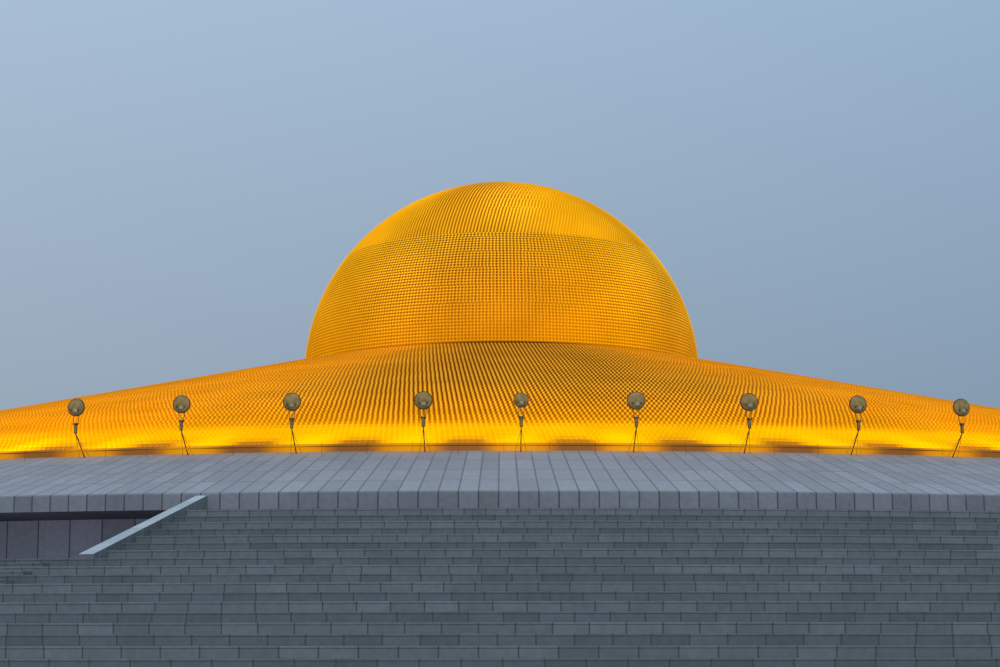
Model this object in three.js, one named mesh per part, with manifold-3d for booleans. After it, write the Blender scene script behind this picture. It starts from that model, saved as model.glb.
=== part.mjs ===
// A golden stupa on a round stepped terrace, as a 1:10 scale model.
// Millimetres, +Z up, origin on the ground under the top of the dome. Angles run round +Z from the front, -Y,
// towards +X. Lengths below are metres of the real building, and METRE turns them into model millimetres.
import * as THREE from "three";
import { mergeVertices } from "three/addons/utils/BufferGeometryUtils.js";
import Module from "manifold-3d";

const wasm = await Module();
wasm.setup();

// Scale and plan
const METRE = 100; // model millimetres for one real metre, which is 1:10
const GAP = 0.3 / METRE; // clearance between pieces that meet on turned or raking faces
const SIDES = 40; // sides of every round outline
const GALLERY_HALF = 7; // degrees of plan to each side of a gallery's middle
const QUARTER = 90; // degrees from one gallery to the next

// Dome and golden slope
const DOME_RADIUS = 11.71;
const DOME_CENTRE_Z = 20.69;
const DOME_RINGS = 9;
const SLOPE_TAN = 0.2311; // fall of the golden slope for each metre outwards
const SLOPE_APEX_Z = 23.932; // where the slope's lines would meet on the axis
const GOLD_RADIUS = 54; // outer edge of the gold
const KERB_WIDTH = 0.5;
const KERB_FOOT_Z = 11.25;

// Apron, fascia and gallery
const APRON_EDGE_RADIUS = 61.43;
const APRON_EDGE_Z = 9.33;
const SOFFIT_Z = 8.83;
const FASCIA_THICKNESS = 0.12;
const DRUM_RADIUS = 57.2;
const WALL_THICKNESS = 0.3;

// Steps
const STEP_RISE = 0.2475;
const STEP_RUN = 1.125;
const FIRST_NOSING_RADIUS = 63.68;
const FLIGHT_STEPS = 7; // steps of a flight above the gallery floor
const TERRACES = 13; // terraces below the gallery floor, of two steps each and the lowest of three
const STEPS = FLIGHT_STEPS + 1 + 2 * TERRACES + 1;
const CHEEK_THICKNESS = 0.35;
const CHEEK_ABOVE_NOSINGS = 0.1;

// Lamp masts
const MAST_STEP = 4; // degrees between masts, the first one over the middle of the front gallery
const MAST_FOOT_RADIUS = 54.55;
const MAST_LEAN = 0.29; // how far the pole leans outwards for each metre up
const CAN_LOW = 0.85;
const CAN_HIGH = 1.2;
const CAN_RADIUS = 0.12;
const POLE_RADIUS = 0.04;
const DISH_UP = 1.73; // the dish's middle above the foot
const DISH_RADIUS = 0.31;
const DISH_DEPTH = 0.1;
const RAIL_UP = 0.26; // the rail above the masts' feet
const RAIL_THICKNESS = 0.05;

const stepZ = (k) => (STEPS - k) * STEP_RISE;
const stepRadius = (k) => FIRST_NOSING_RADIUS + k * STEP_RUN;
const slopeZ = (r) => SLOPE_APEX_Z - SLOPE_TAN * r;
const apronZ = (r) =>
  KERB_FOOT_Z +
  ((APRON_EDGE_Z - KERB_FOOT_Z) * (r - GOLD_RADIUS)) / (APRON_EDGE_RADIUS - GOLD_RADIUS);
const radians = THREE.MathUtils.degToRad;
const direction = (degrees) => new THREE.Vector2(Math.sin(radians(degrees)), -Math.cos(radians(degrees)));

// Closed geometry as a solid that can be joined and cut.
function solid(geometry) {
  const bare = (geometry.index ? geometry.toNonIndexed() : geometry).clone();
  bare.deleteAttribute("normal");
  bare.deleteAttribute("uv");
  const merged = mergeVertices(bare, 1e-3);
  return new wasm.Manifold(
    new wasm.Mesh({
      numProp: 3,
      vertProperties: merged.attributes.position.array,
      triVerts: new Uint32Array(merged.index.array),
    }),
  );
}

// A solid's surface as flat-shaded geometry.
function surface(body) {
  const mesh = body.getMesh();
  const geometry = new THREE.BufferGeometry()
    .setAttribute("position", new THREE.BufferAttribute(new Float32Array(mesh.vertProperties), 3))
    .setIndex(new THREE.BufferAttribute(new Uint32Array(mesh.triVerts), 1))
    .toNonIndexed();
  geometry.computeVertexNormals();
  return geometry;
}

// A profile of [radius, height] points in metres, turned round the axis. It runs up the outside.
function turned(profile, sides = SIDES) {
  const points = profile.map(([r, z]) => new THREE.Vector2(r * METRE, z * METRE));
  const lathe = new THREE.LatheGeometry(points, sides, 0, 2 * Math.PI);
  return solid(lathe.rotateX(Math.PI / 2));
}

// A ring's profile closes on itself.
const ring = (profile, sides) => turned([...profile, profile[0]], sides);

// Everything between two angles, drawn in by a clearance on both sides.
function wedge(from, to, clearance = GAP / 2) {
  const half = (to - from) / 2;
  const middle = from + half;
  const reach = (stepRadius(STEPS) * METRE * 1.3) / Math.cos(radians(half / 2));
  const outline = [new THREE.Vector2(), ...[from, middle, to].map((a) => direction(a).multiplyScalar(reach))];
  const shift = direction(middle).multiplyScalar((clearance * METRE) / Math.sin(radians(half)));
  const depth = 2 * SLOPE_APEX_Z * METRE;
  const prism = new THREE.ExtrudeGeometry(new THREE.Shape(outline), { depth, bevelEnabled: false });
  return solid(prism.translate(shift.x, shift.y, -depth / 4));
}

// A straight bar between two points in metres, with its radius at each end.
function bar(from, to, radiusFrom, radiusTo, sides) {
  const low = new THREE.Vector3(...from).multiplyScalar(METRE);
  const high = new THREE.Vector3(...to).multiplyScalar(METRE);
  const along = high.clone().sub(low);
  const tube = new THREE.CylinderGeometry(radiusTo * METRE, radiusFrom * METRE, along.length(), sides);
  const turn = new THREE.Quaternion().setFromUnitVectors(new THREE.Vector3(0, 1, 0), along.clone().normalize());
  tube.applyQuaternion(turn);
  const middle = low.add(along.multiplyScalar(0.5));
  return solid(tube.translate(middle.x, middle.y, middle.z));
}

const steel = new THREE.MeshStandardMaterial({ color: 0x6f685c, roughness: 0.45, metalness: 0.8 });
const gold = new THREE.MeshStandardMaterial({ color: 0xe09a12, roughness: 0.4, metalness: 0.9 });
const granite = new THREE.MeshStandardMaterial({ color: 0x7f8c96, roughness: 0.6, metalness: 0 });
const greenGranite = new THREE.MeshStandardMaterial({ color: 0x5d7076, roughness: 0.5, metalness: 0 });
const paleStone = new THREE.MeshStandardMaterial({ color: 0xa9b7bd, roughness: 0.6, metalness: 0 });
const wallStone = new THREE.MeshStandardMaterial({ color: 0x4b4a50, roughness: 0.7, metalness: 0 });

const stupa = new THREE.Group();
function add(name, body, material) {
  const mesh = new THREE.Mesh(surface(body), material);
  mesh.name = name;
  stupa.add(mesh);
}

// Dome: a cap of the sphere above the slope.
function dome() {
  const footZ = slopeZ(DOME_RADIUS);
  const start = Math.asin((footZ - DOME_CENTRE_Z) / DOME_RADIUS);
  const profile = [[0, footZ]];
  for (let i = 0; i < DOME_RINGS; i++) {
    const a = start + ((Math.PI / 2 - start) * i) / DOME_RINGS;
    profile.push([DOME_RADIUS * Math.cos(a), i ? DOME_CENTRE_Z + DOME_RADIUS * Math.sin(a) : footZ]);
  }
  profile.push([0, DOME_CENTRE_Z + DOME_RADIUS]);
  return turned(profile);
}

// Golden slope: a frustum that stands on the drum and carries the dome.
function goldenSlope() {
  const edge = GOLD_RADIUS - KERB_WIDTH;
  const topZ = slopeZ(DOME_RADIUS);
  return turned([
    [0, SOFFIT_Z],
    [edge, SOFFIT_Z],
    [edge, slopeZ(edge)],
    [DOME_RADIUS, topZ],
    [0, topZ],
  ]);
}

function apronRing() {
  return ring([
    [GOLD_RADIUS + GAP, SOFFIT_Z],
    [APRON_EDGE_RADIUS - FASCIA_THICKNESS, SOFFIT_Z],
    [APRON_EDGE_RADIUS - FASCIA_THICKNESS, apronZ(APRON_EDGE_RADIUS - FASCIA_THICKNESS)],
    [GOLD_RADIUS + GAP, KERB_FOOT_Z],
  ]);
}

function fasciaRing() {
  const inner = APRON_EDGE_RADIUS - FASCIA_THICKNESS + GAP;
  return ring([
    [inner, SOFFIT_Z],
    [APRON_EDGE_RADIUS, SOFFIT_Z],
    [APRON_EDGE_RADIUS, APRON_EDGE_Z],
    [inner, apronZ(inner)],
  ]);
}

// The smooth golden kerb round the foot of the slope.
function kerbRing() {
  const inner = GOLD_RADIUS - KERB_WIDTH + GAP;
  return ring([
    [inner, SOFFIT_Z],
    [GOLD_RADIUS, SOFFIT_Z],
    [GOLD_RADIUS, slopeZ(GOLD_RADIUS)],
    [inner, slopeZ(inner)],
  ]);
}

// The height of the faceted apron under a point of the plan.
function apronUnder(r, degrees) {
  const half = 180 / SIDES;
  const fromMiddle = (degrees % (2 * half)) - half;
  return apronZ((r * Math.cos(radians(fromMiddle))) / Math.cos(radians(half)));
}

// One lamp mast: a leaning pole that carries the lamp can, and the reflector dish at its top.
function mast(degrees) {
  const z = apronZ(MAST_FOOT_RADIUS);
  const foot = apronUnder(MAST_FOOT_RADIUS, degrees) + POLE_RADIUS * 0.3 + GAP - z;
  const profile = [
    [0, foot],
    [POLE_RADIUS, foot],
    [POLE_RADIUS, CAN_LOW],
    [CAN_RADIUS * 0.6, CAN_LOW],
    [CAN_RADIUS, CAN_HIGH],
    [POLE_RADIUS, CAN_HIGH],
    [POLE_RADIUS, DISH_UP],
    [0, DISH_UP],
  ].map(([r, up]) => new THREE.Vector2(r * METRE, up * METRE));
  const pole = new THREE.LatheGeometry(profile, 3).rotateX(Math.PI / 2);
  pole.applyMatrix4(new THREE.Matrix4().makeShear(0, 0, 0, 0, MAST_LEAN, 0));
  const back = DISH_UP * MAST_LEAN - 0.02;
  const dish = bar([back, 0, DISH_UP], [back + DISH_DEPTH, 0, DISH_UP], DISH_RADIUS, DISH_RADIUS * 0.6, 6);
  const body = solid(pole).add(dish);
  return body.translate([MAST_FOOT_RADIUS * METRE, 0, z * METRE]).rotate([0, 0, degrees - 90]);
}

// The low rail that ties the masts together.
function railRing() {
  const middle = MAST_FOOT_RADIUS + MAST_LEAN * RAIL_UP;
  const z = apronZ(MAST_FOOT_RADIUS) + RAIL_UP;
  const half = RAIL_THICKNESS / 2;
  const profile = [[middle - half, z], [middle + half, z - half], [middle + half, z + half]];
  return ring(profile, 360 / MAST_STEP);
}

// Steps of a flight, from the top down to the gallery floor, with the body under the apron.
function flightRing() {
  const inner = DRUM_RADIUS + GAP;
  const profile = [[inner, stepZ(FLIGHT_STEPS)]];
  for (let k = FLIGHT_STEPS - 1; k >= 0; k--) {
    profile.push([stepRadius(k), stepZ(k + 1)], [stepRadius(k), stepZ(k)]);
  }
  profile.push([APRON_EDGE_RADIUS, stepZ(0)], [APRON_EDGE_RADIUS, SOFFIT_Z], [inner, SOFFIT_Z]);
  return ring(profile);
}

// The raking wall at the side of a flight.
function cheekRing() {
  const rake = STEP_RISE / STEP_RUN;
  const toe = stepRadius(FLIGHT_STEPS) - 0.05;
  const head = APRON_EDGE_RADIUS + GAP;
  const topZ = (r) => stepZ(0) + CHEEK_ABOVE_NOSINGS - rake * (r - FIRST_NOSING_RADIUS);
  const floor = stepZ(FLIGHT_STEPS);
  return ring([
    [head, floor],
    [toe, floor],
    [toe, topZ(toe)],
    [head, topZ(head)],
  ]);
}

function galleryWallRing() {
  const inner = DRUM_RADIUS + GAP;
  return ring([
    [inner, stepZ(FLIGHT_STEPS)],
    [inner + WALL_THICKNESS, stepZ(FLIGHT_STEPS)],
    [inner + WALL_THICKNESS, SOFFIT_Z],
    [inner, SOFFIT_Z],
  ]);
}

// One terrace right across the plan: an upper step and its foot step.
function terrace(number) {
  const top = FLIGHT_STEPS - 1 + 2 * number;
  const end = number === TERRACES ? STEPS : top + 2;
  const profile = [[0, stepZ(end)]];
  for (let k = end - 1; k >= top; k--) profile.push([stepRadius(k), stepZ(k + 1)], [stepRadius(k), stepZ(k)]);
  return turned([...profile, [0, stepZ(top)]]);
}

// A plain round slab between two heights.
const slab = (radius, low, high) => turned([[0, low], [radius, low], [radius, high], [0, high]]);

add("dome", dome(), gold);
add("golden_slope", goldenSlope(), gold);
add("drum", slab(DRUM_RADIUS, stepZ(FLIGHT_STEPS), SOFFIT_Z), wallStone);
add("gallery_floor", slab(stepRadius(FLIGHT_STEPS), stepZ(FLIGHT_STEPS + 1), stepZ(FLIGHT_STEPS)), granite);
for (let n = 1; n <= TERRACES; n++) {
  add("terrace_" + String(n).padStart(2, "0"), terrace(n), greenGranite);
}
add("kerb", kerbRing(), gold);
add("fascia", fasciaRing(), granite);

// Each side of the plan has a gallery in its middle, and half of a flight to either side of it.
const cheekSpan = THREE.MathUtils.radToDeg(CHEEK_THICKNESS / stepRadius(0));
["front", "right", "back", "left"].forEach((side, i) => {
  const middle = i * QUARTER;
  const quarter = wedge(middle - QUARTER / 2, middle + QUARTER / 2);

  add(side + "_apron", apronRing().intersect(quarter), granite);

  let masts = railRing().intersect(quarter);
  for (let at = 0; at < 360; at += MAST_STEP) {
    if (Math.abs(((at - middle + 540) % 360) - 180) < QUARTER / 2) masts = masts.add(mast(at));
  }
  add(side + "_masts_and_rail", masts, steel);

  // A cheek wall stands on the gallery floor against the end of each flight.
  const from = middle - GALLERY_HALF;
  const to = middle + GALLERY_HALF;
  add(side + "_gallery_wall", galleryWallRing().intersect(wedge(from, to, GAP)), wallStone);
  add(side + "_left_cheek", cheekRing().intersect(wedge(from, from + cheekSpan, GAP)), paleStone);
  add(side + "_right_cheek", cheekRing().intersect(wedge(to - cheekSpan, to, GAP)), paleStone);
  add(side + "_flight", flightRing().intersect(wedge(to, to + QUARTER - 2 * GALLERY_HALF, GAP)), greenGranite);
});

export default stupa;
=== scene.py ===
# %% [markdown]
# A golden stupa on a round stepped terrace, as a 1:10 scale model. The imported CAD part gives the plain
# solids, and this lesson dresses them: thousands of small seated figurines on the dome and slope, stone
# slabs with their joints, stairs, lamp masts and a rail. Everything stays in the frame of the CAD part, in
# metres, with +Z up.

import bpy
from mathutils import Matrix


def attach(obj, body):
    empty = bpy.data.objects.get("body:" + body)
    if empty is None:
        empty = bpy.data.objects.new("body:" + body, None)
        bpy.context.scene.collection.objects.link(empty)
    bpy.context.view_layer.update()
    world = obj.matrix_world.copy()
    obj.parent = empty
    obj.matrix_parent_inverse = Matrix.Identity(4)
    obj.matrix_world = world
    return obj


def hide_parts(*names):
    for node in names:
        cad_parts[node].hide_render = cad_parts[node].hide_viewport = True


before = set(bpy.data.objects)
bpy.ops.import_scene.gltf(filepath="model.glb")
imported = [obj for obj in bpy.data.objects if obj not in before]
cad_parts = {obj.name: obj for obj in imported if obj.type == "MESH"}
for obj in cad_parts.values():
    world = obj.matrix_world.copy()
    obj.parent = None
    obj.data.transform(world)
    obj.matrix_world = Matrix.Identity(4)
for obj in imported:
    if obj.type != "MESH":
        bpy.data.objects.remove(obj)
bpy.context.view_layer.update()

# %% [markdown]
# Nearly every piece of this building is round, so places are given by radius, azimuth and height. Azimuth
# is 0 at the front, -Y, and grows towards +X. Lengths are written as metres of the real building, and REAL
# turns them into model metres, so the numbers can be compared with a survey or a drawing.

# %% Places on a round plan
import math

import bmesh
import bpy
from mathutils import Matrix, Vector

REAL = 0.1


def place(radius, azimuth, height):
    a = math.radians(azimuth)
    return Vector((radius * math.sin(a), -radius * math.cos(a), height)) * REAL


print("one real metre is", REAL, "m in the model")

# %% [markdown]
# The heights and radii below repeat the ones in the CAD part, so that each dressed piece lies on its solid.
# The steps all have one rise and one run. Even steps have a lighter face, and the foot steps between
# them a darker one.

# %% Main dimensions
DOME_RADIUS = 11.71
DOME_CENTRE = 20.69
DOME_FOOT = 21.23
SLOPE_TOP = 23.932
SLOPE_FALL = 0.2311
GOLD_RADIUS = 54.0
KERB_WIDTH = 0.5
KERB_FOOT = 11.25
APRON_RADIUS = 61.43
APRON_EDGE = 9.33
SOFFIT = 8.83
DRUM_RADIUS = 57.2
WALL_FACE = 57.5
FIRST_NOSING = 63.68
RISE = 0.2475
RUN = 1.125
FLOOR_STEP = 7
LAST_STEP = 34
GALLERY_HALF = 7.0
STAIR_HALF = 6.075
SLAB_ANGLE = 0.5625
MASTS = 90
FIGURINE_WIDTH_DOME = 0.193
FIGURINE_WIDTH_SLOPE = 0.198
PEAK = 0.07
CROWN_PEAK = 0.06
SIDES = ["front", "right", "back", "left"]


def step_height(k):
    return (LAST_STEP + 1 - k) * RISE


def step_radius(k):
    return FIRST_NOSING + k * RUN


def slope_height(r):
    return SLOPE_TOP - SLOPE_FALL * r


def apron_height(r):
    return KERB_FOOT + (APRON_EDGE - KERB_FOOT) * (r - GOLD_RADIUS) / (APRON_RADIUS - GOLD_RADIUS)


print("gallery floor at", step_height(FLOOR_STEP), "m, edge at radius", step_radius(FLOOR_STEP), "m")

# %% [markdown]
# The camera comes next, because every later choice is judged through it. It stands off the front at azimuth
# 15.3, looks up by 8.6 degrees, and has a long lens. The values come from fitting the dome's outline, the
# rim, the lamp spacing and the steps together.

# %% Camera
CAMERA_DISTANCE = 123.88
CAMERA_AZIMUTH = 15.325
EYE_HEIGHT = 4.61
LOOK_UP = 8.637
LOOK_LEFT = 0.053
ROLL = 0.0011

camera_data = bpy.data.cameras.new("camera")
camera_data.sensor_width = 36.0
camera_data.lens = 75.15
camera_data.clip_start = 0.05
camera_data.clip_end = 500.0
camera = bpy.data.objects.new("camera", camera_data)
bpy.context.scene.collection.objects.link(camera)
camera.location = place(CAMERA_DISTANCE, CAMERA_AZIMUTH, EYE_HEIGHT)
camera.rotation_euler = (math.radians(90 + LOOK_UP), ROLL, math.radians(CAMERA_AZIMUTH + LOOK_LEFT))
bpy.context.scene.camera = camera
print("camera at", [round(c, 3) for c in camera.location])

# %% [markdown]
# A piece is finished the same way each time: its bmesh becomes a mesh, gets its materials, rides on the one
# body of the part, and hides the CAD nodes it stands for.

# %% From bmesh to finished piece
def make_piece(name, bm, finishes, stands_for=()):
    mesh = bpy.data.meshes.new(name)
    bm.to_mesh(mesh)
    bm.free()
    for finish in finishes:
        mesh.materials.append(finish)
    piece = bpy.data.objects.new(name, mesh)
    bpy.context.scene.collection.objects.link(piece)
    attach(piece, "root")
    if stands_for:
        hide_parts(*stands_for)
    triangles = sum(len(p.vertices) - 2 for p in mesh.polygons)
    print(name, triangles, "triangles")
    return piece


# %% [markdown]
# Steps, copings, walls and kerbs are all one outline swept round the axis. An outline is a list of radius
# and height pairs. Swept by less than a full turn it starts as a face, which spin drags round into a closed
# solid. For a full turn only its edges are spun, and the ends are merged.

# %% Sweeping an outline round the axis
def sweep(bm, outline, start, end, facets):
    corners = [bm.verts.new(place(r, start, z)) for r, z in outline]
    edges = [bm.edges.new((a, b)) for a, b in zip(corners, corners[1:] + corners[:1])]
    whole = end - start > 359.9
    caps = [] if whole else [bm.faces.new(corners)]
    bmesh.ops.spin(bm, geom=corners + edges + caps, cent=(0, 0, 0), axis=(0, 0, 1), dvec=(0, 0, 0),
                   angle=math.radians(end - start), steps=facets, use_merge=whole, use_duplicate=False)
    bmesh.ops.recalc_face_normals(bm, faces=bm.faces)


def swept(name, outline, start, end, facets, finish, stands_for=()):
    bm = bmesh.new()
    sweep(bm, outline, start, end, facets)
    return make_piece(name, bm, [finish], stands_for)


# %% [markdown]
# The materials are built from nodes. Small helpers keep them readable: one each for arithmetic, for a soft
# threshold, for a colour ramp, for a blend, for noise and for shading a colour. One more turns Object
# coordinates into azimuth, radius and height in real metres, and one gives a wave round the axis that peaks
# at each mast.

# %% Helpers for materials
def new_finish(name, roughness, metallic=0.0):
    finish = bpy.data.materials.new(name)
    finish.use_nodes = True
    shader = finish.node_tree.nodes["Principled BSDF"]
    shader.inputs["Roughness"].default_value = roughness
    shader.inputs["Metallic"].default_value = metallic
    return finish, finish.node_tree, shader


def calc(tree, operation, a, b=0.0):
    node = tree.nodes.new("ShaderNodeMath")
    node.operation = operation
    for socket, value in zip(node.inputs, (a, b)):
        if isinstance(value, bpy.types.NodeSocket):
            tree.links.new(value, socket)
        else:
            socket.default_value = value
    return node.outputs[0]


def ramp_between(tree, value, low, high, at_low=0.0, at_high=1.0):
    node = tree.nodes.new("ShaderNodeMapRange")
    tree.links.new(value, node.inputs["Value"])
    node.inputs["From Min"].default_value = low
    node.inputs["From Max"].default_value = high
    node.inputs["To Min"].default_value = at_low
    node.inputs["To Max"].default_value = at_high
    return node.outputs["Result"]


def colour_ramp(tree, value, stops):
    node = tree.nodes.new("ShaderNodeValToRGB")
    tree.links.new(value, node.inputs["Fac"])
    elements = node.color_ramp.elements
    while len(elements) < len(stops):
        elements.new(0.5)
    for element, (position, colour) in zip(elements, stops):
        element.position = position
        element.color = (*colour, 1.0)
    return node.outputs["Color"]


def blend_colours(tree, factor, a, b, mode="MIX"):
    node = tree.nodes.new("ShaderNodeMix")
    node.data_type = "RGBA"
    node.blend_type = mode
    for socket, value in ((node.inputs["Factor"], factor), (node.inputs["A"], a), (node.inputs["B"], b)):
        if isinstance(value, bpy.types.NodeSocket):
            tree.links.new(value, socket)
        elif isinstance(value, tuple):
            socket.default_value = (*value, 1.0)
        else:
            socket.default_value = value
    return node.outputs["Result"]


def round_coordinates(tree):
    coordinates = tree.nodes.new("ShaderNodeTexCoord")
    parts = tree.nodes.new("ShaderNodeSeparateXYZ")
    tree.links.new(coordinates.outputs["Object"], parts.inputs["Vector"])
    x, y, z = parts.outputs
    azimuth = calc(tree, "ARCTAN2", x, calc(tree, "MULTIPLY", y, -1.0))
    squares = calc(tree, "ADD", calc(tree, "MULTIPLY", x, x), calc(tree, "MULTIPLY", y, y))
    radius = calc(tree, "DIVIDE", calc(tree, "SQRT", squares), REAL)
    height = calc(tree, "DIVIDE", z, REAL)
    return coordinates.outputs["Object"], azimuth, radius, height


def mast_wave(tree, azimuth):
    return calc(tree, "COSINE", calc(tree, "MULTIPLY", azimuth, float(MASTS)))


def noise_at(tree, position, scale, detail=2.0):
    node = tree.nodes.new("ShaderNodeTexNoise")
    node.inputs["Scale"].default_value = scale
    node.inputs["Detail"].default_value = detail
    tree.links.new(position, node.inputs["Vector"])
    return node.outputs["Fac"]


def shaded(tree, colour, strength):
    node = tree.nodes.new("ShaderNodeVectorMath")
    node.operation = "SCALE"
    tree.links.new(colour, node.inputs[0])
    tree.links.new(strength, node.inputs["Scale"])
    return node.outputs[0]


print("helpers for materials ready, with", MASTS, "peaks to a turn in the masts' wave")

# %% [markdown]
# The stone of this building is laid in slabs of one width, 640 to the turn, with thin dark joints. On the
# steps the joints of each row start at a place of their own. Each slab is a little lighter or darker than
# the next, and fine speckle breaks up its face. One recipe serves the apron and its soffit, the steps, the
# fascia, the copings, the cheeks and the gallery walls. Only its colours, row size, joints and dullness
# change. A row size of ONE_ROW is larger than the piece, so that it has a single row, and an angle of
# FEW_JOINTS leaves twelve joints to the whole turn.

# %% Recipe for slab stone
JOINT_SHIFT = 0.05
ONE_ROW = 20.0
FEW_JOINTS = 30.0


def slab_stone(name, light, dark, rows, first_row, row_size, angle, stagger, joint, joint_colour,
               roughness=0.6, painted_lamp_pool=None):
    finish, tree, shader = new_finish(name, roughness)
    position, azimuth, radius, height = round_coordinates(tree)
    along = radius if rows == "radius" else height
    row_value = calc(tree, "DIVIDE", calc(tree, "SUBTRACT", along, first_row), row_size)
    if rows == "height":
        row_value = calc(tree, "ADD", calc(tree, "MULTIPLY", row_value, -1.0), 0.02)
    row = calc(tree, "FLOOR", row_value)
    odd = calc(tree, "FLOORED_MODULO", row, 2.0)
    shuffle = tree.nodes.new("ShaderNodeTexWhiteNoise")
    shuffle.noise_dimensions = "1D"
    tree.links.new(row, shuffle.inputs["W"])
    offset = calc(tree, "MULTIPLY", shuffle.outputs["Value"], math.radians(angle) * stagger)
    turned = calc(tree, "ADD", azimuth, calc(tree, "SUBTRACT", offset, math.radians(JOINT_SHIFT)))
    slab = calc(tree, "FLOOR", calc(tree, "DIVIDE", turned, math.radians(angle)))
    away = calc(tree, "MULTIPLY", calc(tree, "PINGPONG", turned, math.radians(angle) / 2), radius)
    side_joint = ramp_between(tree, away, joint * 0.4, joint, 1.0, 0.0)
    cross = calc(tree, "MULTIPLY", calc(tree, "PINGPONG", row_value, 0.5), row_size)
    row_joint = ramp_between(tree, cross, joint * 0.4, joint, 1.0, 0.0)
    seam = calc(tree, "MAXIMUM", side_joint, row_joint) if rows == "radius" else side_joint

    identity = tree.nodes.new("ShaderNodeCombineXYZ")
    tree.links.new(slab, identity.inputs["X"])
    tree.links.new(row, identity.inputs["Y"])
    chance = tree.nodes.new("ShaderNodeTexWhiteNoise")
    chance.noise_dimensions = "2D"
    tree.links.new(identity.outputs["Vector"], chance.inputs["Vector"])
    tone = ramp_between(tree, chance.outputs["Value"], 0.0, 1.0, 0.88, 1.12)

    speckle = noise_at(tree, position, 60.0, 4.0)
    grain = ramp_between(tree, speckle, 0.3, 0.7, 0.9, 1.1)
    stain = ramp_between(tree, noise_at(tree, position, 1.3), 0.3, 0.7, 0.92, 1.08)

    second = odd if rows == "height" else ramp_between(tree, row_value, 0.0, 4.0)
    base = blend_colours(tree, second, light, dark)
    strength = calc(tree, "MULTIPLY", calc(tree, "MULTIPLY", tone, grain), stain)
    colour = blend_colours(tree, seam, shaded(tree, base, strength), joint_colour)
    # A warm pool of painted lamp light is mixed into the stone near the kerb, peaking at each mast.
    if painted_lamp_pool:
        at_mast = ramp_between(tree, mast_wave(tree, azimuth), -1.0, 1.0, 0.25, 0.8)
        close = ramp_between(tree, radius, GOLD_RADIUS, GOLD_RADIUS + 1.3, 1.0, 0.0)
        colour = blend_colours(tree, calc(tree, "MULTIPLY", at_mast, close), colour, painted_lamp_pool)
    tree.links.new(colour, shader.inputs["Base Color"])

    bump = tree.nodes.new("ShaderNodeBump")
    bump.inputs["Strength"].default_value = 0.4
    bump.inputs["Distance"].default_value = 0.002
    level = calc(tree, "SUBTRACT", calc(tree, "MULTIPLY", speckle, 0.3), seam)
    tree.links.new(level, bump.inputs["Height"])
    tree.links.new(bump.outputs["Normal"], shader.inputs["Normal"])
    return finish


apron_stone = slab_stone(
    "apron_stone", light=(0.33, 0.277, 0.273), dark=(0.335, 0.33, 0.335), rows="radius", first_row=53.9,
    row_size=1.8825, angle=SLAB_ANGLE, stagger=0.0, joint=0.035, joint_colour=(0.16, 0.155, 0.165),
    painted_lamp_pool=(0.6, 0.38, 0.2))
fascia_stone = slab_stone(
    "fascia_stone", light=(0.225, 0.225, 0.24), dark=(0.225, 0.225, 0.24), rows="height", first_row=ONE_ROW,
    row_size=ONE_ROW, angle=SLAB_ANGLE, stagger=0.0, joint=0.03, joint_colour=(0.07, 0.07, 0.08))
step_stone = slab_stone(
    "step_stone", light=(0.17, 0.186, 0.19), dark=(0.128, 0.142, 0.152), rows="height",
    first_row=step_height(0), row_size=RISE, angle=SLAB_ANGLE, stagger=1.0, joint=0.02,
    joint_colour=(0.07, 0.075, 0.08))
# The gallery walls' stone is painted very pale: painted light that brightens the walls in the shaded recess
# under the apron.
wall_stone = slab_stone(
    "wall_stone", light=(0.82, 0.78, 0.84), dark=(0.82, 0.78, 0.84), rows="height", first_row=ONE_ROW,
    row_size=ONE_ROW, angle=2 * SLAB_ANGLE, stagger=0.0, joint=0.03, joint_colour=(0.22, 0.19, 0.24))
cheek_stone = slab_stone(
    "cheek_stone", light=(0.17, 0.186, 0.19), dark=(0.15, 0.165, 0.17), rows="radius", first_row=FIRST_NOSING,
    row_size=RUN / 3, angle=FEW_JOINTS, stagger=0.0, joint=0.02, joint_colour=(0.06, 0.065, 0.07))
coping_stone = slab_stone(
    "coping_stone", light=(0.5, 0.52, 0.52), dark=(0.5, 0.52, 0.52), rows="radius", first_row=APRON_RADIUS,
    row_size=1.2, angle=FEW_JOINTS, stagger=0.0, joint=0.02, joint_colour=(0.3, 0.32, 0.33))
# The apron slabs' undersides get a colour of their own: painted light and shade, set to how the soffit looks
# under the overhang.
soffit_painted_light_and_shade = slab_stone(
    "soffit_painted_light_and_shade", light=(0.17, 0.15, 0.19), dark=(0.17, 0.15, 0.19), rows="radius", first_row=57.0,
    row_size=ONE_ROW, angle=2 * SLAB_ANGLE, stagger=0.0, joint=0.03, joint_colour=(0.1, 0.09, 0.1),
    roughness=0.8)
stones = [apron_stone, fascia_stone, step_stone, wall_stone, cheek_stone, coping_stone, soffit_painted_light_and_shade]
print("stone finishes:", [stone.name for stone in stones])

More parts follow.
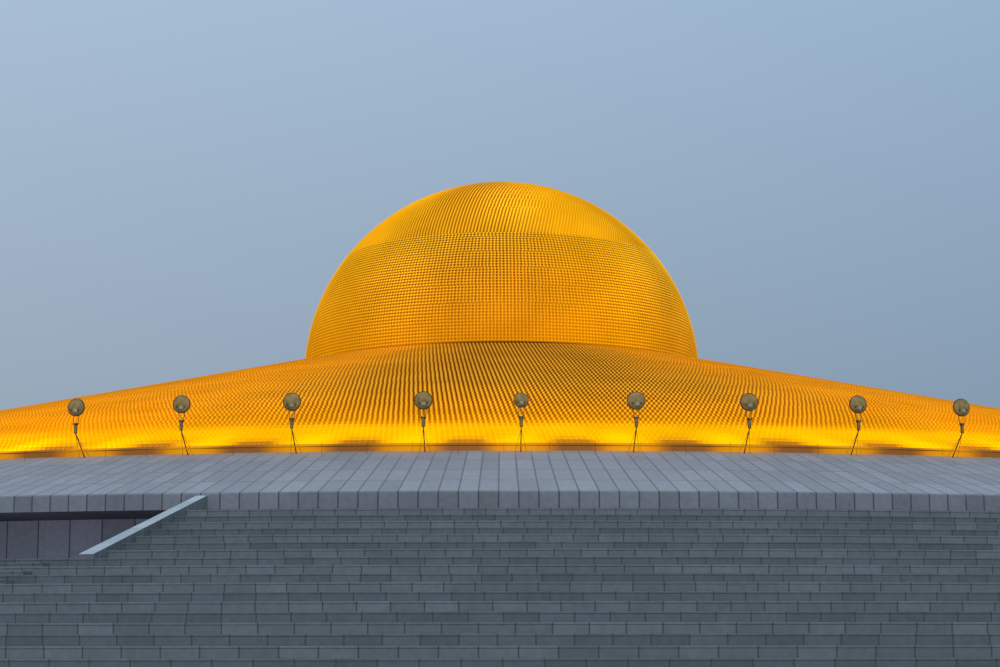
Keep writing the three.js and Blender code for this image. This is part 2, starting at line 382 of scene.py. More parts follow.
# %% [markdown]
# The gold is bronze figurines in gilding, lit by the lamps at dusk. There are far too many to model one by
# one with all their faces, so each is a small peak, and the shadow between neighbours is a darker gold. Two
# attributes give the place inside a figurine's cell: across runs from 0 to 1 from one column gap to the
# next, and along does the same for the rows. They are stored at the corners of each face, so that no seam
# shows where two quarters meet. Columns show as stripes where the row gaps are weak, and as a grid of dots
# where only the corners between four figurines go dark.
#
# The lamps' warm light is painted into the gold: it is brightest near the rim and browner up the slope, so
# its colours follow the radius there and the height on the dome. Between two masts a painted shadow darkens
# the lowest rows, which the light misses, and at each mast a painted pool of lamp light brightens the gold
# near the rim. The level strips between the slope's rows, which show from above, have one even gold. A little
# emission makes the gold glow, a painted light that keeps the lit gold vivid against the cool dusk light.
#
# The colours are given as stops along the radius or the height, one list for the lit figurines and one for
# the painted shadow in the gaps. The value calm makes the gaps' painted shadow weaker over a part of each
# quarter, and mixes a painted light colour into the lit gold there. It goes by the cosine of four times the
# azimuth from a given middle, and holds that middle, the cosine where the gaps are full, the one where they
# are weakest, the share of them that is left there, and the painted light colour that is mixed into the gold
# there.

# %% Recipe for lit gold
def gap_at(tree, attribute):
    node = tree.nodes.new("ShaderNodeAttribute")
    node.attribute_name = attribute
    off_middle = calc(tree, "ABSOLUTE", calc(tree, "SUBTRACT", node.outputs["Fac"], 0.5))
    return calc(tree, "MULTIPLY", off_middle, 2.0)


def lit_gold(name, coordinate, lit_stops, gap_shade_stops, column_gap, row_gap, corner_gap, painted_lamp_shade_and_pool=None,
             calm=None, strips=False):
    finish, tree, shader = new_finish(name, 0.45, 0.9)
    position, azimuth, radius, height = round_coordinates(tree)
    low, high = lit_stops[0][0], lit_stops[-1][0]
    source = ramp_between(tree, radius if coordinate == "radius" else height, low, high)
    lit, gap_shade = (colour_ramp(tree, source, [((at - low) / (high - low), colour) for at, colour in stops])
                   for stops in (lit_stops, gap_shade_stops))

    # The gaps between figurines take the painted shadow colour.
    across, along = gap_at(tree, "across"), gap_at(tree, "along")
    columns = calc(tree, "MULTIPLY", ramp_between(tree, across, 0.2, 0.75), column_gap)
    rows = calc(tree, "MULTIPLY", ramp_between(tree, along, 0.3, 1.0), row_gap)
    crossing = ramp_between(tree, calc(tree, "MULTIPLY", across, along), 0.1, 0.5)
    corners = calc(tree, "MULTIPLY", crossing, corner_gap)
    gap = calc(tree, "MAXIMUM", corners, calc(tree, "MAXIMUM", columns, rows))
    even = blend_colours(tree, 0.55, gap_shade, lit)
    if calm:
        middle, full, weak, least, side = calm
        turned = calc(tree, "SUBTRACT", azimuth, math.radians(middle))
        swing = calc(tree, "COSINE", calc(tree, "MULTIPLY", turned, 4.0))
        gap = calc(tree, "MULTIPLY", gap, ramp_between(tree, swing, full, weak, 1.0, least))
        # Where the gaps are weak, a painted light colour is mixed into the lit gold.
        lit = blend_colours(tree, ramp_between(tree, swing, full, weak, 0.0, 0.6), lit, side)
    gold = blend_colours(tree, gap, lit, gap_shade)

    # Painted shadow between the masts on the lowest rows, and a painted pool of lamp light at each mast.
    if painted_lamp_shade_and_pool:
        wave = mast_wave(tree, azimuth)
        between = ramp_between(tree, wave, 0.2, -0.7)
        low_rows = ramp_between(tree, calc(tree, "ADD", radius, between), 52.3, 53.5)
        gold = blend_colours(tree, calc(tree, "MULTIPLY", between, low_rows), gold, painted_lamp_shade_and_pool[0])
        near_rim = ramp_between(tree, radius, 49.0, 52.0)
        pool = calc(tree, "MULTIPLY", ramp_between(tree, wave, 0.0, 1.0), near_rim)
        gold = blend_colours(tree, pool, gold, painted_lamp_shade_and_pool[1])
    if strips:
        facing = tree.nodes.new("ShaderNodeSeparateXYZ")
        geometry = tree.nodes.new("ShaderNodeNewGeometry")
        tree.links.new(geometry.outputs["True Normal"], facing.inputs["Vector"])
        level = ramp_between(tree, facing.outputs["Z"], 0.8, 0.95)
        gold = blend_colours(tree, level, gold, even)
    patchy = ramp_between(tree, noise_at(tree, position, 3.0, 6.0), 0.3, 0.7, 0.86, 1.1)
    gold = shaded(tree, gold, patchy)
    tree.links.new(gold, shader.inputs["Base Color"])
    tree.links.new(gold, shader.inputs["Emission Color"])
    shader.inputs["Emission Strength"].default_value = 0.6
    shader.inputs["Specular Tint"].default_value = (1.0, 0.5, 0.02, 1.0)
    return finish


SLOPE_START = 17.87
# At the dome's foot the first stops are dark: painted shadow under the dome's lowest rows.
slope_gold = lit_gold(
    "slope_gold", "radius",
    lit_stops=[(11.7, (0.16, 0.06, 0.002)), (12.3, (0.64, 0.29, 0.022)), (32.0, (0.79, 0.38, 0.025)),
               (36.0, (0.9, 0.42, 0.022)), (41.0, (1.0, 0.44, 0.015)), (46.6, (1.0, 0.45, 0.006)),
               (50.0, (1.0, 0.5, 0.0)), (54.0, (1.0, 0.5, 0.0))],
    gap_shade_stops=[(11.7, (0.02, 0.004, 0.0)), (12.3, (0.16, 0.026, 0.0)), (33.0, (0.175, 0.03, 0.0)),
               (40.5, (0.25, 0.048, 0.0)), (44.5, (0.36, 0.09, 0.0)), (46.6, (0.45, 0.14, 0.0)),
               (47.6, (0.66, 0.26, 0.0)), (48.5, (0.86, 0.44, 0.0)), (54.0, (0.9, 0.42, 0.0))],
    column_gap=1.0, row_gap=0.5, corner_gap=0.0, painted_lamp_shade_and_pool=[(0.5, 0.2, 0.01), (1.0, 0.6, 0.0)],
    calm=(SLOPE_START, 0.88, -0.1, 0.6, (1.0, 0.3, 0.0)), strips=True)
dome_gold = lit_gold(
    "dome_gold", "height",
    lit_stops=[(DOME_FOOT, (0.78, 0.33, 0.006)), (24.0, (0.88, 0.41, 0.012)), (27.3, (1.0, 0.5, 0.018)),
               (28.5, (1.0, 0.48, 0.015)), (32.4, (0.6, 0.28, 0.02))],
    gap_shade_stops=[(DOME_FOOT, (0.44, 0.13, 0.0)), (23.3, (0.3, 0.08, 0.0)), (25.0, (0.19, 0.03, 0.0)),
               (27.3, (0.1, 0.006, 0.0)), (28.5, (0.16, 0.025, 0.0)), (32.4, (0.2, 0.08, 0.0))],
    column_gap=0.4, row_gap=0.3, corner_gap=1.0, calm=(45.0, -0.4, 0.9, 0.85, (0.86, 0.37, 0.0)))
crown_gold = lit_gold(
    "crown_gold", "height",
    lit_stops=[(27.0, (0.98, 0.45, 0.012)), (28.5, (0.98, 0.45, 0.012)), (31.0, (0.96, 0.4, 0.012)),
               (31.8, (0.8, 0.34, 0.02)), (32.4, (0.4, 0.2, 0.03))],
    gap_shade_stops=[(27.0, (0.22, 0.055, 0.0)), (28.5, (0.32, 0.105, 0.0)), (31.0, (0.28, 0.09, 0.0)),
               (31.8, (0.18, 0.055, 0.002)), (32.4, (0.1, 0.04, 0.004))],
    column_gap=1.0, row_gap=0.25, corner_gap=0.3, calm=(45.0, -0.4, 0.9, 0.5, (1.0, 0.42, 0.0)))
kerb_gold = lit_gold(
    "kerb_gold", "radius",
    lit_stops=[(50.0, (0.76, 0.28, 0.004)), (54.1, (0.6, 0.2, 0.006))],
    gap_shade_stops=[(50.0, (0.76, 0.28, 0.004)), (54.1, (0.6, 0.2, 0.006))],
    column_gap=0.0, row_gap=0.0, corner_gap=0.0, painted_lamp_shade_and_pool=[(0.25, 0.09, 0.02), (0.78, 0.29, 0.004)])
# The rail's dark brown is partly painted shadow, for the shadow line along the kerb.
rail_gold_and_painted_shadow_line = lit_gold(
    "rail_gold_and_painted_shadow_line", "radius",
    lit_stops=[(50.0, (0.3, 0.12, 0.002)), (55.0, (0.3, 0.12, 0.002))],
    gap_shade_stops=[(50.0, (0.3, 0.12, 0.002)), (55.0, (0.3, 0.12, 0.002))],
    column_gap=0.0, row_gap=0.0, corner_gap=0.0, painted_lamp_shade_and_pool=[(0.16, 0.06, 0.002), (0.45, 0.22, 0.002)])
golds = [slope_gold, dome_gold, crown_gold, kerb_gold, rail_gold_and_painted_shadow_line]
print("golds:", [gold.name for gold in golds])

# %% [markdown]
# The masts are bronze-grey metal. The reflectors are metal discs whose mottled colour is partly weathering
# and partly a painted reflection of the sky above and the gold behind; noise mottles it, and their finish is
# half dull.

# %% Metals
def weathered_and_reflecting_metal(name, base, other, roughness, grain):
    finish, tree, shader = new_finish(name, roughness)
    position = tree.nodes.new("ShaderNodeTexCoord").outputs["Object"]
    mottle = noise_at(tree, position, grain, 3.0)
    colour = blend_colours(tree, ramp_between(tree, mottle, 0.35, 0.65), other, base)
    tree.links.new(colour, shader.inputs["Base Color"])
    rough = ramp_between(tree, mottle, 0.3, 0.7, roughness * 0.8, roughness * 1.2)
    tree.links.new(rough, shader.inputs["Roughness"])
    return finish


mast_metal = weathered_and_reflecting_metal("mast_metal", (0.15, 0.045, 0.012), (0.07, 0.02, 0.006), 0.5, 40.0)
# The reflectors' colours are partly a painted reflection of the sky and the gold.
reflector_metal = weathered_and_reflecting_metal("reflector_metal", (0.5, 0.27, 0.085), (0.24, 0.17, 0.03), 0.6, 70.0)
# The boss's pale metal is partly a painted highlight, low on the disc.
boss_metal_and_painted_highlight = weathered_and_reflecting_metal("boss_metal_and_painted_highlight", (0.5, 0.4, 0.25), (0.36, 0.3, 0.16), 0.5, 60.0)
print("metals:", [metal.name for metal in (mast_metal, reflector_metal, boss_metal_and_painted_highlight)])

# %% [markdown]
# Many things here repeat round the axis. They are modelled once, and a helper adds turned copies of the
# mesh.

# %% Copies round the axis
def copies_round(bm, shape, azimuths):
    for azimuth in azimuths:
        before = len(bm.verts)
        bm.from_mesh(shape)
        bm.verts.ensure_lookup_table()
        bmesh.ops.rotate(bm, verts=bm.verts[before:], cent=(0, 0, 0),
                         matrix=Matrix.Rotation(math.radians(azimuth), 3, "Z"))


# %% [markdown]
# Figurines stand in rings. Each row has a number of its own, so that the spacing stays even as the circle
# grows. A row is a strip of cells, and poke lifts the middle of each cell into a peak, which gives one
# small figurine for four triangles. Between two rows runs a narrow valley, where a zip of triangles joins
# rings of different numbers. A quarter is built this way, with a skirt and an underside that close it, and
# four turned copies are merged. The skirt is given by how far it lies inwards and down. The lower piece of
# the slope ends where the upper one begins, so no ring stays open between them.
#
# All rows have a column at the same azimuth, start. So columns look parallel round it and drift apart far
# from it.

# %% Rows of figurines
def figurine_rows(name, rows, skirt, peak, finish, stands_for=(), end=None):
    bm = bmesh.new()
    across = bm.loops.layers.float.new("across")
    along = bm.loops.layers.float.new("along")

    def arc(point, count, start):
        radius, height = point
        return [bm.verts.new(place(radius, start + 360 * j / count, height)) for j in range(count // 4 + 1)]

    def face(verts, marks_across, marks_along):
        made = bm.faces.new(verts)
        for loop, one, other in zip(made.loops, marks_across, marks_along):
            loop[across], loop[along] = one, other
        return made

    def zip_up(a, b):
        i = j = 0
        while i < len(a) - 1 or j < len(b) - 1:
            if j == len(b) - 1 or (i < len(a) - 1 and (i + 1) * (len(b) - 1) <= (j + 1) * (len(a) - 1)):
                face((a[i], a[i + 1], b[j]), (0, 1, i % 2), (0, 0, 0))
                i += 1
            else:
                face((a[i], b[j + 1], b[j]), (j % 2, 1, 0), (0, 0, 0))
                j += 1

    (low, _, count, start), (_, high, last_count, last_start) = rows[0], rows[-1]
    foot = arc((low[0] - skirt[0], low[1] - skirt[1]), count, start)
    before, cells = foot, []
    for low, high, count, start in rows:
        lower, upper = arc(low, count, start), arc(high, count, start)
        zip_up(before, lower)
        cells += [face((lower[j], lower[j + 1], upper[j + 1], upper[j]), (0, 1, 1, 0), (0, 0, 1, 1))
                  for j in range(count // 4)]
        before = upper
    head = arc(end or (high[0] - skirt[0], high[1] - skirt[1]), last_count, last_start)
    zip_up(before, head)
    zip_up(head, foot)
    bm.normal_update()
    for vert in bmesh.ops.poke(bm, faces=cells, offset=peak * REAL, center_mode="MEAN")["verts"]:
        for loop in vert.link_loops:
            loop[across], loop[along] = 0.5, 0.5
    quarter = bpy.data.meshes.new("quarter")
    bm.to_mesh(quarter)
    bm.free()
    ring = bmesh.new()
    copies_round(ring, quarter, [0, 90, 180, 270])
    bmesh.ops.remove_doubles(ring, verts=ring.verts, dist=1e-6)
    make_piece(name, ring, [finish], stands_for)
    return sum(row[2] for row in rows)


def row_count(radius, pitch):
    return 4 * max(3, round(2 * math.pi * radius / pitch / 4))


print(row_count(DOME_RADIUS, FIGURINE_WIDTH_DOME), "figurines round the dome's widest ring")

# %% [markdown]
# The dome is a little less than half a ball. Its rows are 0.186 m apart and its figurines 0.193 m. Low on
# the dome six rows share one number of figurines, and from two fifths up each row has its own.

# %% Dome figurines
DOME_START = math.asin((DOME_FOOT - DOME_CENTRE) / DOME_RADIUS)
DOME_ROWS = 96
CROWN_FROM = 38
CROWN_END = 93
SHARED_ROWS = 6
ROW_SHARE = 0.85
DOME_COLUMN = 17.0
CROWN_COLUMN = 2.0


def on_dome(step, steps, inset=0.0):
    a = DOME_START + (math.pi / 2 - DOME_START) * step / steps
    return ((DOME_RADIUS - inset) * math.cos(a), DOME_CENTRE + (DOME_RADIUS - inset) * math.sin(a))


rows = []
for i in range(CROWN_END):
    on_crown = i >= CROWN_FROM
    counted_at = i if on_crown else SHARED_ROWS * (i // SHARED_ROWS) + SHARED_ROWS // 2
    count = row_count(on_dome(counted_at, DOME_ROWS)[0], FIGURINE_WIDTH_DOME)
    rows.append((on_dome(i, DOME_ROWS), on_dome(i + ROW_SHARE, DOME_ROWS), count,
                 CROWN_COLUMN if on_crown else DOME_COLUMN))
figures = figurine_rows("dome_figurines", rows[:CROWN_FROM], (0.2, 0.0), PEAK, dome_gold)
figures += figurine_rows("crown_figurines", rows[CROWN_FROM:], (0.1, 0.1), CROWN_PEAK, crown_gold)
print(figures, "figurines on the dome")

# %% [markdown]
# Some solids reach the axis. Their outline starts and ends on it, and only its edges are spun, so that the
# points on the axis merge into one at each end.

# %% Solids that reach the axis
def turned_solid(name, outline, facets, finish, stands_for=()):
    bm = bmesh.new()
    corners = [bm.verts.new(place(r, 0, z)) for r, z in outline]
    edges = [bm.edges.new(pair) for pair in zip(corners, corners[1:])]
    bmesh.ops.spin(bm, geom=corners + edges, cent=(0, 0, 0), axis=(0, 0, 1), dvec=(0, 0, 0),
                   angle=2 * math.pi, steps=facets, use_merge=True, use_duplicate=False)
    bmesh.ops.remove_doubles(bm, verts=bm.verts, dist=1e-5)
    bmesh.ops.recalc_face_normals(bm, faces=bm.faces)
    return make_piece(name, bm, [finish], stands_for)


shell = [on_dome(i, 36, 0.03) for i in range(36)]
shell = [(0.0, DOME_FOOT - 0.02)] + shell + [(0.0, DOME_CENTRE + DOME_RADIUS - 0.02)]
turned_solid("dome_shell", shell, 96, crown_gold, ["dome"])

# %% [markdown]
# The slope falls from the dome to the rim in 47 low rings, 0.91 m apart and 0.2 m high. Their tops lie on
# the slope's line. A viewer far below sees only the upper half of each ring's figurines and none of the
# level strip behind them. Two pieces share the slope, so that neither has too many triangles.

# %% Slope figurines
SLOPE_RINGS = 47
LOWER_RINGS = 19
RING_HEIGHT = 0.2
LEAN_BACK = 0.03
kerb_inner = GOLD_RADIUS - KERB_WIDTH
ring_depth = (kerb_inner - DOME_RADIUS) / (SLOPE_RINGS - 1)
rows = []
for i in range(SLOPE_RINGS):
    outer = max(kerb_inner - i * ring_depth, DOME_RADIUS + 0.04)
    top = slope_height(outer)
    count = row_count(outer, FIGURINE_WIDTH_SLOPE)
    rows.append(((outer, top - RING_HEIGHT), (outer - LEAN_BACK, top), count, SLOPE_START))
figures = figurine_rows("slope_figurines_1", rows[:LOWER_RINGS], (0.02, 0.1), PEAK, slope_gold,
                        ["golden_slope"], end=rows[LOWER_RINGS][0])
figures += figurine_rows("slope_figurines_2", rows[LOWER_RINGS:], (0.02, 0.1), PEAK, slope_gold)
print(figures, "figurines on the slope, in rings", round(ring_depth, 3), "m apart")

# %% [markdown]
# The smooth kerb closes the gold at its foot, with painted shadow between the masts and a painted pool of
# lamp light at each one. Just outside it runs a thin rail, with a thin stick every 1.6 degrees. The rail's
# dark brown is partly painted shadow: it also draws the shadow line along the kerb.

# %% Kerb and rail
KERB_OUTLINE = [
    (kerb_inner, SOFFIT),
    (GOLD_RADIUS, SOFFIT),
    (GOLD_RADIUS, KERB_FOOT + 0.16),
    (GOLD_RADIUS - 0.04, KERB_FOOT + 0.21),
    (kerb_inner, slope_height(kerb_inner)),
]
swept("golden_kerb", KERB_OUTLINE, 0, 360, 240, kerb_gold, ["kerb"])


def rod(bm, low, high, thick, sides):
    low, high = Vector(low) * REAL, Vector(high) * REAL
    along = high - low
    turn = along.to_track_quat("Z", "Y").to_matrix().to_4x4()
    bmesh.ops.create_cone(bm, cap_ends=True, segments=sides, radius1=thick * REAL, radius2=thick * REAL,
                          depth=along.length, matrix=Matrix.Translation((low + high) / 2) @ turn)


MAST_GROUND = apron_height(54.55)
RAIL_RADIUS = 54.62
RAIL_HEIGHT = MAST_GROUND + 0.26
RAIL_THICK = 0.022
STICKS = 225
FIRST_STICK = 1.0

bm = bmesh.new()
sweep(bm, [(RAIL_RADIUS + RAIL_THICK * math.sin(a), RAIL_HEIGHT + RAIL_THICK * math.cos(a))
           for a in (0, math.pi / 2, math.pi, 3 * math.pi / 2)], 0, 360, 180)
stick = bmesh.new()
stick_foot, stick_top = apron_height(RAIL_RADIUS) - 0.01, RAIL_HEIGHT + 0.14
rod(stick, (0, -RAIL_RADIUS, stick_foot), (0, -RAIL_RADIUS, stick_top), 0.008, 4)
stick_mesh = bpy.data.meshes.new("rail_stick")
stick.to_mesh(stick_mesh)
stick.free()
copies_round(bm, stick_mesh, [FIRST_STICK + 360 / STICKS * i for i in range(STICKS)])
make_piece("rail", bm, [rail_gold_and_painted_shadow_line])

# %% [markdown]
# Each mast leans outwards. It carries a can with a lamp that shines up at a round reflector, which throws
# the light back on the gold. The reflector is a shallow disc in a dark rim, held by two thin rods, with a
# small boss low on its face between the rods' ends, whose pale metal is also a painted highlight. Two thin
# stays spread at the foot. The front of the can gets the reflector's lighter metal, a painted highlight.
# The mast is modelled once, at azimuth 0, and copied round.

# %% One lamp mast
MAST_FOOT = 54.17
MAST_LEAN = 0.81
CAN_BOTTOM = 0.84
REFLECTOR_MIDDLE = 1.73
UPRIGHT = (0, 0, 1)
FACING_OUT = (0, -1, 0.06)
METAL, REFLECTOR, BOSS = 0, 1, 2


def on_mast(up, side=0.0, out=0.0):
    return (side, -(MAST_FOOT + MAST_LEAN * min(1.0, up / CAN_BOTTOM) + out), MAST_GROUND + up)


def turned_on(mast, profile, centre, axis, sides, material):
    bm = bmesh.new()
    verts = [bm.verts.new(Vector((r, 0, z)) * REAL) for r, z in profile]
    edges = [bm.edges.new(pair) for pair in zip(verts, verts[1:])]
    bmesh.ops.spin(bm, geom=verts + edges, cent=(0, 0, 0), axis=(0, 0, 1), dvec=(0, 0, 0), angle=2 * math.pi,
                   steps=sides, use_merge=True, use_duplicate=False)
    bmesh.ops.remove_doubles(bm, verts=bm.verts, dist=1e-6)
    turn = Vector(axis).to_track_quat("Z", "Y").to_matrix().to_4x4()
    bmesh.ops.transform(bm, matrix=Matrix.Translation(Vector(centre) * REAL) @ turn, verts=bm.verts)
    bmesh.ops.recalc_face_normals(bm, faces=bm.faces)
    for face in bm.faces:
        # Faces of the can that face the front get the lighter metal, a painted highlight.
        face.material_index = REFLECTOR if axis == UPRIGHT and face.normal.y < -0.8 else material
        face.smooth = True
    shape = bpy.data.meshes.new("mast_part")
    bm.to_mesh(shape)
    bm.free()
    mast.from_mesh(shape)


# %% The mast's outlines and the whole mast
CAN_OUTLINE = [(0, 0), (0.05, 0), (0.058, 0.02), (0.066, 0.26), (0.085, 0.3), (0.102, 0.33), (0.102, 0.35),
               (0.085, 0.35), (0.07, 0.31), (0, 0.3)]
DISC_OUTLINE = [(0, 0.13), (0.1, 0.12), (0.2, 0.08), (0.27, 0.035), (0.298, 0.012), (0.298, -0.03),
                (0, -0.04)]
RIM_OUTLINE = [(0.29, 0.0), (0.294, 0.022), (0.312, 0.018), (0.312, -0.035), (0.29, -0.035), (0.29, 0.0)]


def mast_mesh(size):
    mast = bmesh.new()
    rod(mast, on_mast(0.0), on_mast(CAN_BOTTOM + 0.02), 0.02, 6)
    for side in (-1, 1):
        rod(mast, on_mast(1.1, side * 0.06), on_mast(REFLECTOR_MIDDLE, side * 0.156 * size, -0.05), 0.012, 4)
        rod(mast, on_mast(0.8), on_mast(0.0, side * 0.21), 0.007, 3)
    turned_on(mast, CAN_OUTLINE, on_mast(CAN_BOTTOM), UPRIGHT, 10, METAL)
    middle = on_mast(REFLECTOR_MIDDLE)
    turned_on(mast, [(r * size, z * size) for r, z in DISC_OUTLINE], middle, FACING_OUT, 20, REFLECTOR)
    turned_on(mast, [(r * size, z * size) for r, z in RIM_OUTLINE], middle, FACING_OUT, 20, METAL)
    boss = [(0, 0.14 * size), (0.05 * size, 0.137 * size), (0.085 * size, 0.12 * size),
            (0.085 * size, 0.02), (0, 0.02)]
    turned_on(mast, boss, on_mast(REFLECTOR_MIDDLE - 0.13 * size, 0.02 * size), FACING_OUT, 10, BOSS)
    bolt = [(0, 0.125 * size), (0.03 * size, 0.12 * size), (0.03 * size, 0.02), (0, 0.02)]
    for side in (-1, 1):
        turned_on(mast, bolt, on_mast(REFLECTOR_MIDDLE - 0.1 * size, side * 0.13 * size),
                  FACING_OUT, 5, METAL)
    shape = bpy.data.meshes.new("mast")
    mast.to_mesh(shape)
    mast.free()
    return shape


print(len(mast_mesh(1.0).polygons), "faces on a mast")

# %% [markdown]
# Ninety masts stand four degrees apart. One beside the front gallery stands a little out of line, and its
# neighbour has a smaller reflector, as masts that were replaced over the years do.

# %% Ring of masts
MOVED_FROM, MOVED_TO = 12.0, 12.61
SMALL_AT, SMALL_SIZE = 16.0, 0.82
usual = mast_mesh(1.0)
small = mast_mesh(SMALL_SIZE)
places = [360 / MASTS * n for n in range(MASTS)]
for i, side in enumerate(SIDES):
    bm = bmesh.new()
    near = [a for a in places if math.cos(math.radians(a - 90 * i)) > math.sqrt(0.5)]
    copies_round(bm, usual, [MOVED_TO if a == MOVED_FROM else a for a in near if a != SMALL_AT])
    if SMALL_AT in near:
        copies_round(bm, small, [SMALL_AT])
    make_piece(f"{side}_masts", bm, [mast_metal, reflector_metal, boss_metal_and_painted_highlight],
               [f"{side}_masts_and_rail"])

# %% [markdown]
# The apron is a low stone cone, with a sharp edge and a fascia of upright slabs that hangs over the
# galleries. Both are swept with many facets, as the real ones are laid from narrow straight slabs.

# %% Apron and fascia
slabs_end = APRON_RADIUS - 0.1
fascia_back = APRON_RADIUS - 0.099
APRON_OUTLINE = [
    (GOLD_RADIUS, SOFFIT),
    (slabs_end, SOFFIT),
    (slabs_end, apron_height(slabs_end)),
    (GOLD_RADIUS, KERB_FOOT),
]
FASCIA_OUTLINE = [
    (fascia_back, SOFFIT),
    (APRON_RADIUS, SOFFIT),
    (APRON_RADIUS, APRON_EDGE - 0.03),
    (APRON_RADIUS - 0.02, APRON_EDGE),
    (fascia_back, apron_height(fascia_back)),
]
for i, side in enumerate(SIDES):
    slabs = swept(f"{side}_apron_slabs", APRON_OUTLINE, 90 * i - 45, 90 * i + 45, 160, apron_stone,
                  [f"{side}_apron"])
    # The downward faces take the soffit's painted light and shade.
    slabs.data.materials.append(soffit_painted_light_and_shade)
    for face in slabs.data.polygons:
        face.material_index = 1 if face.normal.z < -0.9 else 0
swept("fascia_slabs", FASCIA_OUTLINE, 0, 360, 640, fascia_stone, ["fascia"])

# %% [markdown]
# Steps are swept from one outline too. Each step ends in a nosing that stands a little proud of its riser
# and catches the light. A helper lists the corners of a flight from its lowest step to its highest. The
# stairs in the middle of each side have two steps for each step of the terraces. The terraces' ends beside
# a stair get the stone of a cheek.

# %% Outline of a flight of steps
NOSING = 0.012
NOSING_DEPTH = 0.05


def steps_outline(top, bottom, finer=1):
    corners = []
    for n in range((bottom - top + 1) * finer - 1, -1, -1):
        k = top + n / finer
        r, z = step_radius(k), step_height(k)
        corners += [(r, z - RISE / finer), (r, z - NOSING_DEPTH), (r + NOSING, z - NOSING_DEPTH + 0.01),
                    (r + NOSING, z - 0.008), (r + NOSING - 0.008, z)]
    return corners


def finish_ends(piece):
    piece.data.materials.append(cheek_stone)
    for face in piece.data.polygons:
        outward = face.center.xy.normalized()
        if abs(face.normal.z) < 0.3 and abs(face.normal.xy @ outward) < 0.3:
            face.material_index = 1


# %% Flights, terraces and stairs
TERRACES = [f"terrace_{n:02d}" for n in range(1, 14)]
floor_height = step_height(FLOOR_STEP)
core = step_radius(FLOOR_STEP) - 2.0
flight = [(DRUM_RADIUS, floor_height)] + steps_outline(0, FLOOR_STEP - 1)
flight += [(APRON_RADIUS, step_height(0)), (APRON_RADIUS, SOFFIT), (DRUM_RADIUS, SOFFIT)]
seats = [(core, 0.0)] + steps_outline(FLOOR_STEP, LAST_STEP) + [(core, floor_height)]
stair = [(core, 0.0)] + steps_outline(FLOOR_STEP, LAST_STEP, 2) + [(core, floor_height)]
for i, side in enumerate(SIDES):
    middle = 90 * i
    swept(f"{side}_flight_steps", flight, middle + GALLERY_HALF, middle + 90 - GALLERY_HALF, 64, step_stone,
          [f"{side}_flight"])
    finish_ends(swept(f"{side}_terraces", seats, middle + STAIR_HALF, middle + 90 - STAIR_HALF, 56,
                      step_stone, TERRACES if i == 0 else ()))
    finish_ends(swept(f"{side}_stair", stair, middle - STAIR_HALF, middle + STAIR_HALF, 12, step_stone))

# %% [markdown]
# A gallery lies in the middle of each side, under the apron. It has a panelled back wall and a paved floor,
# and a raking wall with a light coping closes it at each end against the flight. The paving's piece reaches
# down to the ground, so that the terraces are solid underneath.

# %% Galleries
COPING_STANDS = 0.1
CHEEK_THICK = 0.35
rake = RISE / RUN
toe = step_radius(FLOOR_STEP) - 0.05
cheek = math.degrees(CHEEK_THICK / FIRST_NOSING)
paving = [(0.0, 0.0), (core, 0.0), (core, floor_height), (0.0, floor_height)]
panels = [(DRUM_RADIUS, floor_height), (WALL_FACE, floor_height), (WALL_FACE, SOFFIT), (DRUM_RADIUS, SOFFIT)]


def coping_height(r):
    return step_height(0) + COPING_STANDS - rake * (r - FIRST_NOSING)


coping = [(APRON_RADIUS, floor_height), (toe, floor_height), (toe, coping_height(toe)),
          (APRON_RADIUS, coping_height(APRON_RADIUS))]
turned_solid("gallery_paving", paving, 240, apron_stone, ["gallery_floor"])
for i, side in enumerate(SIDES):
    middle = 90 * i
    swept(f"{side}_gallery_panels", panels, middle - GALLERY_HALF, middle + GALLERY_HALF, 12, wall_stone,
          [f"{side}_gallery_wall"])
    for hand, start in (("left", middle - GALLERY_HALF), ("right", middle + GALLERY_HALF - cheek)):
        wall = swept(f"{side}_{hand}_coping", coping, start, start + cheek, 2, coping_stone,
                     [f"{side}_{hand}_cheek"])
        wall.data.materials.append(cheek_stone)
        for face in wall.data.polygons:
            face.material_index = 0 if face.normal.z > 0.5 else 1

# %% [markdown]
# The drum under the slope is hidden by the galleries' walls and the flights, so its CAD solid stays as it is
# and gets the wall's stone.

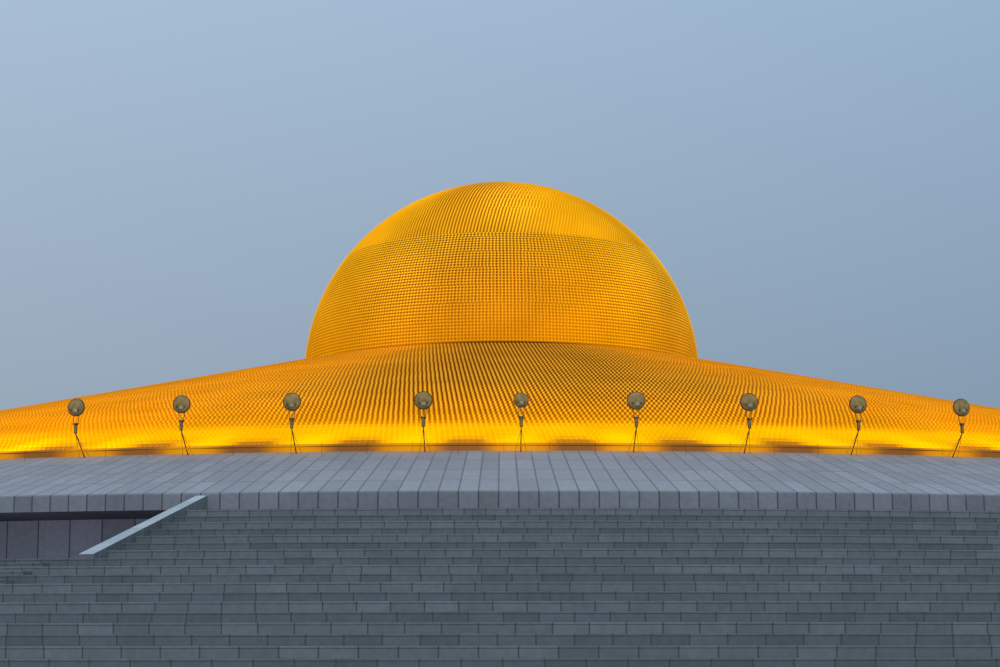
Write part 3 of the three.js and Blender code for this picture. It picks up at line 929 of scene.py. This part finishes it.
# %% Drum
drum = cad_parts["drum"]
drum.data.materials.clear()
drum.data.materials.append(wall_stone)
print("drum keeps its CAD mesh")

# %% [markdown]
# The stage is a plain pale floor under a soft cool sky, with one broad light from the front. The sky is a
# little lighter upwards and to the left.

# %% Floor
FLOOR_HALF = 60.0
bm = bmesh.new()
bmesh.ops.create_grid(bm, x_segments=1, y_segments=1, size=FLOOR_HALF)
floor_mesh = bpy.data.meshes.new("floor")
bm.to_mesh(floor_mesh)
bm.free()
floor_finish, _, floor_shader = new_finish("pale_floor", 0.9)
floor_shader.inputs["Base Color"].default_value = (0.55, 0.56, 0.58, 1.0)
floor_mesh.materials.append(floor_finish)
floor = bpy.data.objects.new("floor", floor_mesh)
bpy.context.scene.collection.objects.link(floor)
print("floor reaches", max(v.co.x for v in floor_mesh.vertices), "m each way")

# %% Sky and light
RIGHTWARD = (0.964, 0.264)
world = bpy.data.worlds.new("dusk")
bpy.context.scene.world = world
world.use_nodes = True
sky = world.node_tree
toward = sky.nodes.new("ShaderNodeSeparateXYZ")
outward = sky.nodes.new("ShaderNodeTexCoord").outputs["Generated"]
sky.links.new(outward, toward.inputs["Vector"])
lift = ramp_between(sky, toward.outputs["Z"], 0.05, 0.4)
across_sky = calc(sky, "ADD", calc(sky, "MULTIPLY", toward.outputs["X"], RIGHTWARD[0]),
                  calc(sky, "MULTIPLY", toward.outputs["Y"], RIGHTWARD[1]))
left_sky = blend_colours(sky, lift, (0.29, 0.355, 0.43), (0.44, 0.585, 0.765))
right_sky = blend_colours(sky, lift, (0.21, 0.285, 0.375), (0.355, 0.51, 0.695))
sky_colour = blend_colours(sky, ramp_between(sky, across_sky, -0.25, 0.25), left_sky, right_sky)
sky.links.new(sky_colour, sky.nodes["Background"].inputs["Color"])

key_data = bpy.data.lights.new("key", "SUN")
key_data.energy = 0.8
key_data.angle = math.radians(40)
key = bpy.data.objects.new("key", key_data)
bpy.context.scene.collection.objects.link(key)
key.rotation_euler = (math.radians(50), 0.0, math.radians(25))
bpy.context.scene.view_settings.view_transform = "Standard"
print("light of energy", key_data.energy)
